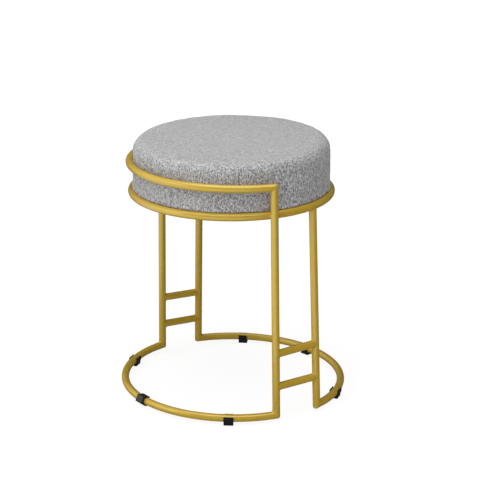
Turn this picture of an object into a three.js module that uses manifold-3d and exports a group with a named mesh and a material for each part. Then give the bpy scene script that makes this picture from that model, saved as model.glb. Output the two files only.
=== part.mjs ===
// Vanity stool: a round cushion on a welded frame of bent steel tube, with a rail round half of the cushion.
// Millimetres, +Z up. The origin is on the floor, under the middle of the base. The rail's middle faces -Y.
import * as THREE from 'three';
import { mergeVertices } from 'three/addons/utils/BufferGeometryUtils.js';
import Module from 'manifold-3d';

const manifoldLibrary = await Module();
manifoldLibrary.setup();

// Tube of the frame
const tubeRadius = 6.5;
const tubeDiameter = 2 * tubeRadius;
const tubeWall = 1.2;
const weldGap = 0.3;

// Seat ring, which carries the cushion
const seatRingRadius = 171.2;
const seatRingHeight = 356.7;

// Base: two arcs outside the ring, each bent round a middle of its own, with a gap between them at each end
const legSplay = 23.5;
const baseRadius = seatRingRadius + legSplay;
const soleDepth = 5;
const baseHeight = soleDepth + tubeRadius;
const railArcSideShift = -0.3;
const railArcInset = 6.5;
const openArcSideShift = 4.4;
const openArcInset = 3.8;
const railArcSpan = THREE.MathUtils.degToRad(157.5);
const openArcSpan = THREE.MathUtils.degToRad(150);
const railLoopBearing = THREE.MathUtils.degToRad(-90.4);
const openLoopBearing = THREE.MathUtils.degToRad(90.8);

// Where the legs meet the seat ring, as bearings round it
const nearRailBearing = THREE.MathUtils.degToRad(-10.5);
const farRailBearing = THREE.MathUtils.degToRad(-169.9);
const nearOpenBearing = THREE.MathUtils.degToRad(19.1);
const farOpenBearing = THREE.MathUtils.degToRad(167.2);

// Cushion: it nests in the ring, and its top stands above the rail
const cushionInset = 1;
const cushionRadius = seatRingRadius - cushionInset;
const cushionBulge = 1;
const cushionDrop = 4.2;
const cushionRise = 42.5;
const cushionCrown = 5.5;
const shoulderRadius = 21;
const coverThickness = 1.2;
const softGap = 0.4;
const layerGap = 0.3;

// Rail, which bites into the cushion's side
const railRise = 49.8;
const railHeight = seatRingHeight + railRise;
const railBite = 3.8;
const railMiddleRadius = cushionRadius + tubeRadius - railBite;
const pressHalfHeight = 17;
const pressShares = [1, 0.45, 0, -0.45, -1];

// Rungs across the gaps, measured up from the base tube's centre line
const nearRungRises = { lower: 50.4, upper: 108.6 };
const farRungRises = { lower: 41.8, upper: 94.5 };

// Foot clips: a channel that snaps on the base tube, with a flat sole
const footLength = 16.2;
const footWall = 2;
const footClearance = 0.5;
const footArmAngle = THREE.MathUtils.degToRad(30);
const footFlankAngle = THREE.MathUtils.degToRad(-38);
const soleHalfWidth = 6.6;
const soleEdge = 0.8;
const railSideFootShares = [-0.68, 0.06, 0.694];
const openSideFootShares = [-0.725, 0.137, 0.663];
const slippedFootNumber = 2;
const slippedFootTurn = THREE.MathUtils.degToRad(114);

// Board under the pad, the cover's hem under the board, and the thin cloth that closes the underside
const boardInset = 8.7;
const boardRadius = cushionRadius - boardInset;
const boardThickness = 12;
const boardEdge = 1.5;
const hemWidth = 7.5;
const hemRadius = boardRadius - hemWidth;
const dustCoverLap = 4;
const dustCoverRadius = hemRadius + dustCoverLap;
const dustCoverThickness = 0.5;

// Lugs inside the seat ring, and the bolts that hold the board on them
const lugCount = 4;
const lugHalfWidth = 12;
const lugThickness = 3;
const boltInset = 15.5;
const boltCircleRadius = boardRadius - boltInset;
const boltRadius = 3;
const boltHoleClearance = 0.4;
const boltHoleRadius = boltRadius + boltHoleClearance;
const boltTipDepth = 2;
const headRadius = 5.6;
const headHeight = 3.8;
const headRound = 1.4;
const socketRadius = 2.3;
const socketDepth = 2.4;
const washerRadius = 6.4;
const washerThickness = 1.2;
const nutFlangeRadius = 9.5;
const nutFlangeThickness = 1.2;
const nutWall = 0.9;
const nutBoreRadius = boltRadius + layerGap;
const nutBarrelRadius = nutBoreRadius + nutWall;
const nutBarrelLength = 9;
const dustHoleClearance = 1.4;
const dustHoleRadius = boltRadius + dustHoleClearance;

// Facets
const tubeSides = 16;
const boreSides = 6;
const arcStep = THREE.MathUtils.degToRad(6);
const cushionSegments = 32;
const roundSides = 40;
const smallSides = 10;
const lugTipSteps = 6;
const clipArmSteps = 4;
const clipBoreSteps = 14;
const crownSteps = 4;
const shoulderSteps = 4;
const nestSteps = 2;
const cutOverrun = 1;

const materials = {
  gold: new THREE.MeshStandardMaterial({ color: 0xc4a544, roughness: 0.34, metalness: 0.9 }),
  cloth: new THREE.MeshStandardMaterial({ color: 0x9c9c9d, roughness: 0.95, metalness: 0 }),
  blackPlastic: new THREE.MeshStandardMaterial({ color: 0x1b1b1d, roughness: 0.55, metalness: 0 }),
  plywood: new THREE.MeshStandardMaterial({ color: 0xc39d6c, roughness: 0.75, metalness: 0 }),
  foam: new THREE.MeshStandardMaterial({ color: 0xe8dfb8, roughness: 1, metalness: 0 }),
  blackCloth: new THREE.MeshStandardMaterial({ color: 0x222224, roughness: 1, metalness: 0 }),
  zinc: new THREE.MeshStandardMaterial({ color: 0xb4b7ba, roughness: 0.35, metalness: 1 }),
};

const stool = new THREE.Group();

function addPiece(name, geometry, material, parent = stool) {
  const mesh = new THREE.Mesh(geometry, material);
  mesh.name = name;
  parent.add(mesh);
  return mesh;
}

// Closed solids, and the cuts made in them
function signedVolume(geometry) {
  const points = geometry.toNonIndexed().attributes.position;
  const [a, b, c] = [new THREE.Vector3(), new THREE.Vector3(), new THREE.Vector3()];
  let volume = 0;
  for (let i = 0; i < points.count; i += 3) {
    a.fromBufferAttribute(points, i);
    b.fromBufferAttribute(points, i + 1);
    c.fromBufferAttribute(points, i + 2);
    volume += a.dot(b.cross(c));
  }
  return volume;
}

function closedMesh(geometry) {
  geometry.deleteAttribute('normal');
  geometry.deleteAttribute('uv');
  const merged = mergeVertices(geometry);
  const corners = [];
  const index = merged.index.array;
  const outward = signedVolume(merged) > 0;
  for (let i = 0; i < index.length; i += 3) {
    const [a, b, c] = [index[i], index[i + 1], index[i + 2]];
    if (a === b || b === c || c === a) continue;
    corners.push(a, ...(outward ? [b, c] : [c, b]));
  }
  merged.setIndex(corners);
  merged.computeVertexNormals();
  return merged;
}

function toSolid(geometry) {
  const closed = closedMesh(geometry);
  const vertProperties = new Float32Array(closed.attributes.position.array);
  const triVerts = new Uint32Array(closed.index.array);
  return new manifoldLibrary.Manifold(new manifoldLibrary.Mesh({ numProp: 3, vertProperties, triVerts }));
}

function toGeometry(solid) {
  const mesh = solid.getMesh();
  const geometry = new THREE.BufferGeometry();
  geometry.setAttribute('position', new THREE.BufferAttribute(new Float32Array(mesh.vertProperties), 3));
  geometry.setIndex(Array.from(mesh.triVerts));
  geometry.computeVertexNormals();
  return geometry;
}

function cut(solid, ...cutters) {
  return cutters.reduce((rest, cutter) => rest.subtract(cutter), solid);
}

// Everything on the far side of a plane, near a point on it
function beyondPlane(point, normal) {
  const side = 3 * tubeDiameter;
  const slab = new THREE.BoxGeometry(side, side, side);
  slab.translate(0, 0, side / 2);
  slab.applyQuaternion(new THREE.Quaternion().setFromUnitVectors(new THREE.Vector3(0, 0, 1), normal));
  slab.translate(point.x, point.y, point.z);
  return toSolid(slab);
}

// Places given by a bearing round the stool's axis, a radius and a height
function polar(bearing, radius, height) {
  return new THREE.Vector3(radius * Math.cos(bearing), radius * Math.sin(bearing), height);
}

class LevelArc extends THREE.Curve {
  constructor(centre, radius, start, end) {
    super();
    Object.assign(this, { centre, radius, start, end });
  }

  getPoint(share, target = new THREE.Vector3()) {
    const angle = THREE.MathUtils.lerp(this.start, this.end, share);
    return target.copy(polar(angle, this.radius, 0)).add(this.centre);
  }

  get steps() {
    return Math.max(2, Math.ceil(Math.abs(this.end - this.start) / arcStep));
  }
}

// Tube sections and runs
function circlePoints(radius, sides) {
  return Array.from({ length: sides }, (_, i) => {
    const angle = (2 * Math.PI * i) / sides;
    return new THREE.Vector2(radius * Math.cos(angle), radius * Math.sin(angle));
  });
}

function tubeSection() {
  const section = new THREE.Shape(circlePoints(tubeRadius, tubeSides));
  section.holes.push(new THREE.Path(circlePoints(tubeRadius - tubeWall, boreSides)));
  return section;
}

function sweep(section, path, steps = path.steps ?? 1) {
  return new THREE.ExtrudeGeometry(section, { steps, extrudePath: path });
}

// Its flats stand clear of the round tube, so that a cope leaves no sliver
function clearanceRod(path) {
  const cornerRadius = (tubeRadius + weldGap) / Math.cos(Math.PI / tubeSides);
  return toSolid(sweep(new THREE.Shape(circlePoints(cornerRadius, tubeSides)), path));
}

// The two arcs of the base: where each starts and ends, and the middle that it is bent round
const railArcStart = railLoopBearing - railArcSpan / 2;
const railArcEnd = railLoopBearing + railArcSpan / 2;
const openArcStart = openLoopBearing - openArcSpan / 2;
const openArcEnd = openLoopBearing + openArcSpan / 2;
const railArcCentre = new THREE.Vector3(railArcSideShift, railArcInset, baseHeight);
const openArcCentre = new THREE.Vector3(openArcSideShift, -openArcInset, baseHeight);

// The four legs: the arc's end that each stands on, the line of its axis and the height at its top
const outsideRingRadius = seatRingRadius + tubeDiameter + weldGap;

function legPoint(leg, height) {
  const share = (height - baseHeight) / (seatRingHeight - baseHeight);
  return leg.foot.clone().lerp(leg.atRing, share);
}

function makeLeg(arcCentre, arcAngle, ringBearing, ringRadius, topHeight) {
  const leg = {
    foot: polar(arcAngle, baseRadius, 0).add(arcCentre),
    atRing: polar(ringBearing, ringRadius, seatRingHeight),
  };
  leg.top = legPoint(leg, topHeight);
  leg.up = leg.top.clone().sub(leg.foot).normalize();
  const start = leg.foot.clone().addScaledVector(leg.up, -tubeDiameter);
  const end = leg.top.clone().addScaledVector(leg.up, topHeight > seatRingHeight ? tubeDiameter : 0);
  leg.axis = new THREE.LineCurve3(start, end);
  return leg;
}

const legs = {
  nearRail: makeLeg(railArcCentre, railArcEnd, nearRailBearing, outsideRingRadius, railHeight),
  farRail: makeLeg(railArcCentre, railArcStart, farRailBearing, outsideRingRadius, railHeight),
  nearOpen: makeLeg(openArcCentre, openArcStart, nearOpenBearing, seatRingRadius, seatRingHeight),
  farOpen: makeLeg(openArcCentre, openArcEnd, farOpenBearing, seatRingRadius, seatRingHeight),
};

// The circle through three points of one level
function circleThrough(a, b, c, height) {
  const across = (p, q) => (p.x ** 2 + p.y ** 2 - q.x ** 2 - q.y ** 2) / 2;
  const [ab, ac] = [a.clone().sub(b), a.clone().sub(c)];
  const turn = ab.x * ac.y - ab.y * ac.x;
  const x = (across(a, b) * ac.y - across(a, c) * ab.y) / turn;
  const y = (across(a, c) * ab.x - across(a, b) * ac.x) / turn;
  return { centre: new THREE.Vector3(x, y, height), radius: Math.hypot(a.x - x, a.y - y) };
}

// The rail is a flatter arc than the cushion: it meets the rail legs and presses the cushion in between them
const railMiddle = polar(railLoopBearing, railMiddleRadius, railHeight);
const { centre: railCentre, radius: railRadius } = circleThrough(
  legs.nearRail.top, railMiddle, legs.farRail.top, railHeight);

function railArcAngle(leg) {
  return Math.atan2(leg.top.y - railCentre.y, leg.top.x - railCentre.x);
}

// A corner where a level arc turns into a leg, mitred with the weld's gap between the two faces
function mitre(corner, arcInward, legInward) {
  const normal = arcInward.clone().sub(legInward).normalize();
  const half = weldGap / 2;
  return {
    arcSide: beyondPlane(corner.clone().addScaledVector(normal, half), normal.clone().negate()),
    legSide: beyondPlane(corner.clone().addScaledVector(normal, -half), normal),
  };
}

function arcTangent(bearing, turn) {
  return new THREE.Vector3(-Math.sin(bearing) * turn, Math.cos(bearing) * turn, 0);
}

const farRailAngle = railArcAngle(legs.farRail) - 2 * Math.PI * (railArcAngle(legs.farRail) > 0 ? 1 : 0);
const nearRailAngle = railArcAngle(legs.nearRail);
const corners = {
  nearRailFoot: mitre(legs.nearRail.foot, arcTangent(railArcEnd, -1), legs.nearRail.up),
  farRailFoot: mitre(legs.farRail.foot, arcTangent(railArcStart, 1), legs.farRail.up),
  nearOpenFoot: mitre(legs.nearOpen.foot, arcTangent(openArcStart, 1), legs.nearOpen.up),
  farOpenFoot: mitre(legs.farOpen.foot, arcTangent(openArcEnd, -1), legs.farOpen.up),
  nearRailTop: mitre(legs.nearRail.top, arcTangent(nearRailAngle, -1), legs.nearRail.up.clone().negate()),
  farRailTop: mitre(legs.farRail.top, arcTangent(farRailAngle, 1), legs.farRail.up.clone().negate()),
};

// Bent tubes with mitred ends
function bentTube(centre, radius, start, end, startCorner, endCorner) {
  const overrun = tubeDiameter / radius;
  const path = new LevelArc(centre, radius, start - overrun, end + overrun);
  return toGeometry(cut(toSolid(sweep(tubeSection(), path)), startCorner.arcSide, endCorner.arcSide));
}

addPiece('rail_side_base_arc', bentTube(railArcCentre, baseRadius, railArcStart, railArcEnd,
  corners.farRailFoot, corners.nearRailFoot), materials.gold);
addPiece('open_side_base_arc', bentTube(openArcCentre, baseRadius, openArcStart, openArcEnd,
  corners.nearOpenFoot, corners.farOpenFoot), materials.gold);
addPiece('cushion_rail', bentTube(railCentre, railRadius, farRailAngle, nearRailAngle,
  corners.farRailTop, corners.nearRailTop), materials.gold);

// Seat ring, bent to a full turn, with its butt joint behind the far rail leg
const seatRingCentre = new THREE.Vector3(0, 0, seatRingHeight);
const buttHalfAngle = weldGap / 2 / seatRingRadius;
const seatRingPath = new LevelArc(seatRingCentre, seatRingRadius,
  farRailBearing + buttHalfAngle, farRailBearing + 2 * Math.PI - buttHalfAngle);
addPiece('seat_ring', closedMesh(sweep(tubeSection(), seatRingPath)), materials.gold);

// Legs: the rail legs run past the ring to the rail, and the open legs are coped to the ring's underside
function ringClearance(bearing) {
  const reach = (2 * tubeDiameter) / seatRingRadius;
  return clearanceRod(new LevelArc(seatRingCentre, seatRingRadius, bearing - reach, bearing + reach));
}

function legTube(leg, ...cutters) {
  return toGeometry(cut(toSolid(sweep(tubeSection(), leg.axis)), ...cutters));
}

addPiece('near_rail_leg',
  legTube(legs.nearRail, corners.nearRailFoot.legSide, corners.nearRailTop.legSide), materials.gold);
addPiece('far_rail_leg',
  legTube(legs.farRail, corners.farRailFoot.legSide, corners.farRailTop.legSide), materials.gold);
addPiece('near_open_leg',
  legTube(legs.nearOpen, corners.nearOpenFoot.legSide, ringClearance(nearOpenBearing)), materials.gold);
addPiece('far_open_leg',
  legTube(legs.farOpen, corners.farOpenFoot.legSide, ringClearance(farOpenBearing)), materials.gold);

// Rungs, with both ends coped to the legs
function rung(railLeg, openLeg, rise) {
  const height = baseHeight + rise;
  const path = new THREE.LineCurve3(legPoint(railLeg, height), legPoint(openLeg, height));
  const bar = toSolid(sweep(tubeSection(), path));
  return toGeometry(cut(bar, clearanceRod(railLeg.axis), clearanceRod(openLeg.axis)));
}

for (const [level, rise] of Object.entries(nearRungRises)) {
  addPiece(`near_${level}_rung`, rung(legs.nearRail, legs.nearOpen, rise), materials.gold);
}
for (const [level, rise] of Object.entries(farRungRises)) {
  addPiece(`far_${level}_rung`, rung(legs.farRail, legs.farOpen, rise), materials.gold);
}

// Foot clip: its section's x runs outwards and its y up, turned to the sweep's own x down and y inwards
function footSection(turn) {
  const boreRadius = tubeRadius + footClearance;
  const outerRadius = boreRadius + footWall;
  const soleLevel = -(tubeRadius + soleDepth);
  const points = [];
  const arc = (radius, from, to, count) => {
    for (let i = 0; i <= count; i += 1) {
      const angle = THREE.MathUtils.lerp(from, to, i / count);
      points.push(new THREE.Vector2(radius * Math.cos(angle), radius * Math.sin(angle)));
    }
  };
  arc(outerRadius, footArmAngle, footFlankAngle, clipArmSteps);
  points.push(new THREE.Vector2(soleHalfWidth, soleLevel + soleEdge));
  points.push(new THREE.Vector2(soleHalfWidth - soleEdge, soleLevel));
  points.push(new THREE.Vector2(soleEdge - soleHalfWidth, soleLevel));
  points.push(new THREE.Vector2(-soleHalfWidth, soleLevel + soleEdge));
  arc(outerRadius, -Math.PI - footFlankAngle, -Math.PI - footArmAngle, clipArmSteps);
  arc(boreRadius, -Math.PI - footArmAngle, footArmAngle, clipBoreSteps);
  const tubeMiddle = new THREE.Vector2();
  points.forEach((p) => p.rotateAround(tubeMiddle, turn));
  return new THREE.Shape(points.map((p) => new THREE.Vector2(-p.y, -p.x)));
}

function footClip(centre, angle, turn) {
  const halfAngle = footLength / 2 / baseRadius;
  const path = new LevelArc(centre, baseRadius, angle - halfAngle, angle + halfAngle);
  return closedMesh(sweep(footSection(turn), path));
}

// One clip has slipped round its tube, so that its sole faces outwards
const feet = [
  ...railSideFootShares.map((share) => [railArcCentre, railLoopBearing + (share * railArcSpan) / 2]),
  ...openSideFootShares.map((share) => [openArcCentre, openLoopBearing + (share * openArcSpan) / 2]),
];
feet.forEach(([centre, angle], i) => {
  const turn = i + 1 === slippedFootNumber ? slippedFootTurn : 0;
  addPiece(`foot_clip_${i + 1}`, footClip(centre, angle, turn), materials.blackPlastic);
});

// Cushion: half of its section, at a depth under the cloth's face and from the top's middle down
const shoulderHeight = railHeight + cushionRise;
const cushionBottom = seatRingHeight + tubeRadius - cushionDrop;
const boardBottom = cushionBottom + coverThickness + layerGap;
const boardTop = boardBottom + boardThickness;

function topOutline(depth) {
  const points = [];
  const crownRadius = cushionRadius - shoulderRadius;
  const crownHeight = (r) => shoulderHeight + cushionCrown * (1 - (r / crownRadius) ** 2) - depth;
  for (let i = 0; i < crownSteps; i += 1) {
    const r = (crownRadius * i) / crownSteps;
    points.push(new THREE.Vector2(r, crownHeight(r)));
  }
  for (let i = 0; i <= shoulderSteps; i += 1) {
    const angle = (Math.PI / 2) * (1 - i / shoulderSteps);
    points.push(new THREE.Vector2(crownRadius + (shoulderRadius - depth) * Math.cos(angle),
      shoulderHeight - shoulderRadius + (shoulderRadius - depth) * Math.sin(angle)));
  }
  return points;
}

// The side has points close together where the rail presses it, and the last one is its lower end
function sideOutline(depth, low) {
  const sideTop = shoulderHeight - shoulderRadius;
  const sideFoot = seatRingHeight + tubeRadius;
  const pressed = pressShares.map((share) => railHeight + share * pressHalfHeight);
  const heights = [...pressed, (pressed.at(-1) + low) / 2, low];
  return heights.map((height) => {
    const bulge = cushionBulge * Math.sin((Math.PI * (sideTop - height)) / (sideTop - sideFoot));
    return new THREE.Vector2(cushionRadius - depth + bulge, height);
  });
}

// The cover's lower edge nests on the inside of the seat ring
function nestOutline(depth) {
  const nestRadius = tubeRadius + softGap + depth;
  const nestStart = Math.acos((cushionRadius - depth - seatRingRadius) / nestRadius);
  const nestEnd = Math.PI - Math.asin((cushionBottom + depth - seatRingHeight) / nestRadius);
  return Array.from({ length: nestSteps + 1 }, (_, i) => {
    const angle = THREE.MathUtils.lerp(nestStart, nestEnd, i / nestSteps);
    return new THREE.Vector2(seatRingRadius + nestRadius * Math.cos(angle),
      seatRingHeight + nestRadius * Math.sin(angle));
  });
}

function coverLayer(depth) {
  const nest = nestOutline(depth);
  return [...topOutline(depth), ...sideOutline(depth, nest[0].y).slice(0, -1), ...nest];
}

// How far the rail pushes the cushion's side in at a bearing and height
function railPress(bearing, height) {
  const away = (height - railHeight) / pressHalfHeight;
  if (Math.abs(away) >= 1) return 0;
  const alongShift = railCentre.x * Math.cos(bearing) + railCentre.y * Math.sin(bearing);
  const acrossShift = railCentre.y * Math.cos(bearing) - railCentre.x * Math.sin(bearing);
  const railDistance = alongShift + Math.sqrt(railRadius ** 2 - acrossShift ** 2);
  const depth = cushionRadius + cushionBulge + softGap - (railDistance - tubeRadius);
  return Math.max(0, depth) * (1 - away ** 2) ** 2;
}

function pressIn(geometry) {
  const points = geometry.attributes.position;
  for (let i = 0; i < points.count; i += 1) {
    const [x, y, z] = [points.getX(i), points.getY(i), points.getZ(i)];
    const radius = Math.hypot(x, y);
    if (radius < cushionRadius - shoulderRadius) continue;
    const share = 1 - railPress(Math.atan2(y, x), z) / radius;
    points.setXYZ(i, x * share, y * share, z);
  }
  return geometry;
}

function revolve(outline, segments) {
  return new THREE.LatheGeometry(outline, segments).rotateX(Math.PI / 2);
}

const cushion = new THREE.Group();
stool.add(cushion);

const coverOutline = [
  ...coverLayer(0),
  new THREE.Vector2(hemRadius, cushionBottom),
  new THREE.Vector2(hemRadius, cushionBottom + coverThickness),
  ...coverLayer(coverThickness).reverse(),
];
const cover = pressIn(revolve(coverOutline, cushionSegments));
addPiece('cushion_cover', closedMesh(cover), materials.cloth, cushion);

const foamDepth = coverThickness + layerGap;
const foamBottom = boardTop + layerGap;
const foamOutline = [
  ...topOutline(foamDepth),
  ...sideOutline(foamDepth, foamBottom),
  new THREE.Vector2(0, foamBottom),
].reverse();
const foam = pressIn(revolve(foamOutline, cushionSegments));
addPiece('seat_foam', closedMesh(foam), materials.foam, cushion);

// Plain rods on the axis, which stand where a bolt goes
function rod(radius, low, high, sides = smallSides) {
  const geometry = new THREE.CylinderGeometry(radius, radius, high - low, sides).rotateX(Math.PI / 2);
  return geometry.translate(0, 0, (low + high) / 2);
}

const boltBearings = Array.from({ length: lugCount }, (_, i) => (2 * Math.PI * i) / lugCount);

function atBolts(makeGeometry) {
  return boltBearings.map((bearing) => toSolid(makeGeometry()
    .translate(boltCircleRadius, 0, 0).rotateZ(bearing)));
}

const boardOutline = [
  new THREE.Vector2(0, boardTop),
  new THREE.Vector2(boardRadius - boardEdge, boardTop),
  new THREE.Vector2(boardRadius, boardTop - boardEdge),
  new THREE.Vector2(boardRadius, boardBottom + boardEdge),
  new THREE.Vector2(boardRadius - boardEdge, boardBottom),
  new THREE.Vector2(0, boardBottom),
];
const nutSeat = boardTop - nutFlangeThickness;
const board = cut(
  toSolid(revolve(boardOutline, roundSides)),
  ...atBolts(() => rod(nutBarrelRadius + layerGap, boardBottom - cutOverrun, boardTop + cutOverrun)),
  ...atBolts(() => rod(nutFlangeRadius + layerGap, nutSeat - layerGap, boardTop + cutOverrun)),
);
addPiece('seat_board', toGeometry(board), materials.plywood, cushion);

const dustTop = cushionBottom - layerGap;
const dustBottom = dustTop - dustCoverThickness;
const dustCover = cut(
  toSolid(rod(dustCoverRadius, dustBottom, dustTop, roundSides)),
  ...atBolts(() => rod(dustHoleRadius, dustBottom - cutOverrun, dustTop + cutOverrun)),
);
addPiece('dust_cover', toGeometry(dustCover), materials.blackCloth, cushion);

// Lugs: drilled tongues welded to the inside of the seat ring
const lugTop = dustBottom - layerGap;
const lugBottom = lugTop - lugThickness;

function lug() {
  const tongue = new THREE.Shape();
  tongue.moveTo(seatRingRadius, -lugHalfWidth);
  tongue.lineTo(seatRingRadius, lugHalfWidth);
  tongue.lineTo(boltCircleRadius, lugHalfWidth);
  tongue.absarc(boltCircleRadius, 0, lugHalfWidth, Math.PI / 2, (Math.PI * 3) / 2, false);
  tongue.closePath();
  const boltPlace = new THREE.Vector2(boltCircleRadius, 0);
  const hole = circlePoints(boltHoleRadius, smallSides).map((point) => point.add(boltPlace));
  tongue.holes.push(new THREE.Path(hole));
  const settings = { depth: lugThickness, bevelEnabled: false, curveSegments: lugTipSteps };
  const plate = new THREE.ExtrudeGeometry(tongue, settings);
  plate.translate(0, 0, lugBottom);
  return toGeometry(cut(toSolid(plate), ringClearance(0)));
}

// Fasteners, each revolved round its own axis
const washerTop = lugBottom - layerGap;
const headTop = washerTop - washerThickness - layerGap;

function washer() {
  return revolve([
    new THREE.Vector2(boltHoleRadius, washerTop),
    new THREE.Vector2(washerRadius, washerTop),
    new THREE.Vector2(washerRadius, washerTop - washerThickness),
    new THREE.Vector2(boltHoleRadius, washerTop - washerThickness),
    new THREE.Vector2(boltHoleRadius, washerTop),
  ], smallSides);
}

function bolt() {
  const headBottom = headTop - headHeight;
  const boltTip = boardTop - boltTipDepth;
  return revolve([
    new THREE.Vector2(0, boltTip),
    new THREE.Vector2(boltRadius - layerGap, boltTip),
    new THREE.Vector2(boltRadius, boltTip - layerGap),
    new THREE.Vector2(boltRadius, headTop),
    new THREE.Vector2(headRadius, headTop),
    new THREE.Vector2(headRadius, headBottom + headRound),
    new THREE.Vector2(headRadius - headRound, headBottom),
    new THREE.Vector2(socketRadius, headBottom),
    new THREE.Vector2(socketRadius, headBottom + socketDepth),
    new THREE.Vector2(0, headBottom + socketDepth),
  ], smallSides);
}

function boardNut() {
  return revolve([
    new THREE.Vector2(nutBoreRadius, boardTop),
    new THREE.Vector2(nutFlangeRadius, boardTop),
    new THREE.Vector2(nutFlangeRadius, nutSeat),
    new THREE.Vector2(nutBarrelRadius, nutSeat),
    new THREE.Vector2(nutBarrelRadius, boardTop - nutBarrelLength),
    new THREE.Vector2(nutBoreRadius, boardTop - nutBarrelLength),
    new THREE.Vector2(nutBoreRadius, boardTop),
  ], smallSides);
}

boltBearings.forEach((bearing, i) => {
  const station = new THREE.Group();
  station.rotation.z = bearing;
  stool.add(station);
  addPiece(`seat_lug_${i + 1}`, lug(), materials.gold, station);
  const boltAxis = new THREE.Group();
  boltAxis.position.x = boltCircleRadius;
  station.add(boltAxis);
  addPiece(`bolt_washer_${i + 1}`, closedMesh(washer()), materials.zinc, boltAxis);
  addPiece(`seat_bolt_${i + 1}`, closedMesh(bolt()), materials.zinc, boltAxis);
  addPiece(`board_nut_${i + 1}`, closedMesh(boardNut()), materials.zinc, boltAxis);
});

export default stool;
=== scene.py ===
from contextlib import contextmanager
from math import acos, asin, atan2, ceil, cos, hypot, pi, radians, sin, sqrt, tan

import bmesh
import bpy
import numpy as np
from mathutils import Matrix, Vector, noise


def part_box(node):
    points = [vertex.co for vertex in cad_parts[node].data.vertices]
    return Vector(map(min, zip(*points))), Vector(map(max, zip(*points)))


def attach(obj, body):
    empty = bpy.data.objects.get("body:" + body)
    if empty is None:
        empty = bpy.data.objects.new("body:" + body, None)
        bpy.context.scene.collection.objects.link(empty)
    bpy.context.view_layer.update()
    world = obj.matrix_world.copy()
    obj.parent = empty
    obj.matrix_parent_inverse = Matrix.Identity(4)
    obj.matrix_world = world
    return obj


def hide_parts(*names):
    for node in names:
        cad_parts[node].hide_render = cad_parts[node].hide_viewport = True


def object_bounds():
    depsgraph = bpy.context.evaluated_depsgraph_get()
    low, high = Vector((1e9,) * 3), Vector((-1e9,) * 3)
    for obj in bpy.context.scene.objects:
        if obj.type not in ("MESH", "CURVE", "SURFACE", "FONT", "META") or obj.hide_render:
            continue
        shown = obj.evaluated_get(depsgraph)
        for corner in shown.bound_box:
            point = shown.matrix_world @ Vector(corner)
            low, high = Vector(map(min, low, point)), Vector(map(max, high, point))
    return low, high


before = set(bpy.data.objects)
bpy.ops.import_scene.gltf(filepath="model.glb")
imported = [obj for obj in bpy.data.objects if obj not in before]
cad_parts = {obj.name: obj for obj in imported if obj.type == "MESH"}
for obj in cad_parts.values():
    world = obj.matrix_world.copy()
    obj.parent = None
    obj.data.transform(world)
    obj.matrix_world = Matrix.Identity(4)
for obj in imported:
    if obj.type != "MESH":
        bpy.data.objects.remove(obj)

scene = bpy.context.scene
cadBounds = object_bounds()
mm = 0.001
fullTurn = 2 * pi
upward = Vector((0, 0, 1))
print("frame loaded with", len(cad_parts), "nodes")


def setAll(target, **values):
    for key, value in values.items():
        setattr(target, key, value)
    return target


# Node trees: a wire stands for a socket, so sums on wires write their own Math nodes
class Wire:
    def __init__(self, graph, socket):
        self.graph = graph
        self.socket = socket

    def join(self, operation, *others):
        sockets = dict(enumerate((self,) + others))
        return self.graph.node("ShaderNodeMath", sockets, operation=operation)

    def __add__(self, other):
        return self.join("ADD", other)

    def __mul__(self, other):
        return self.join("MULTIPLY", other)

    def __sub__(self, other):
        return self.join("SUBTRACT", other)

    def __rsub__(self, other):
        return self.graph.node("ShaderNodeMath", {0: other, 1: self}, operation="SUBTRACT")

    def __truediv__(self, other):
        return self.join("DIVIDE", other)

    def __pow__(self, other):
        return self.join("POWER", other)

    def cap(self):
        return self.join("MINIMUM", 1.0).join("MAXIMUM", 0.0)

    __radd__ = __add__
    __rmul__ = __mul__


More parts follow.
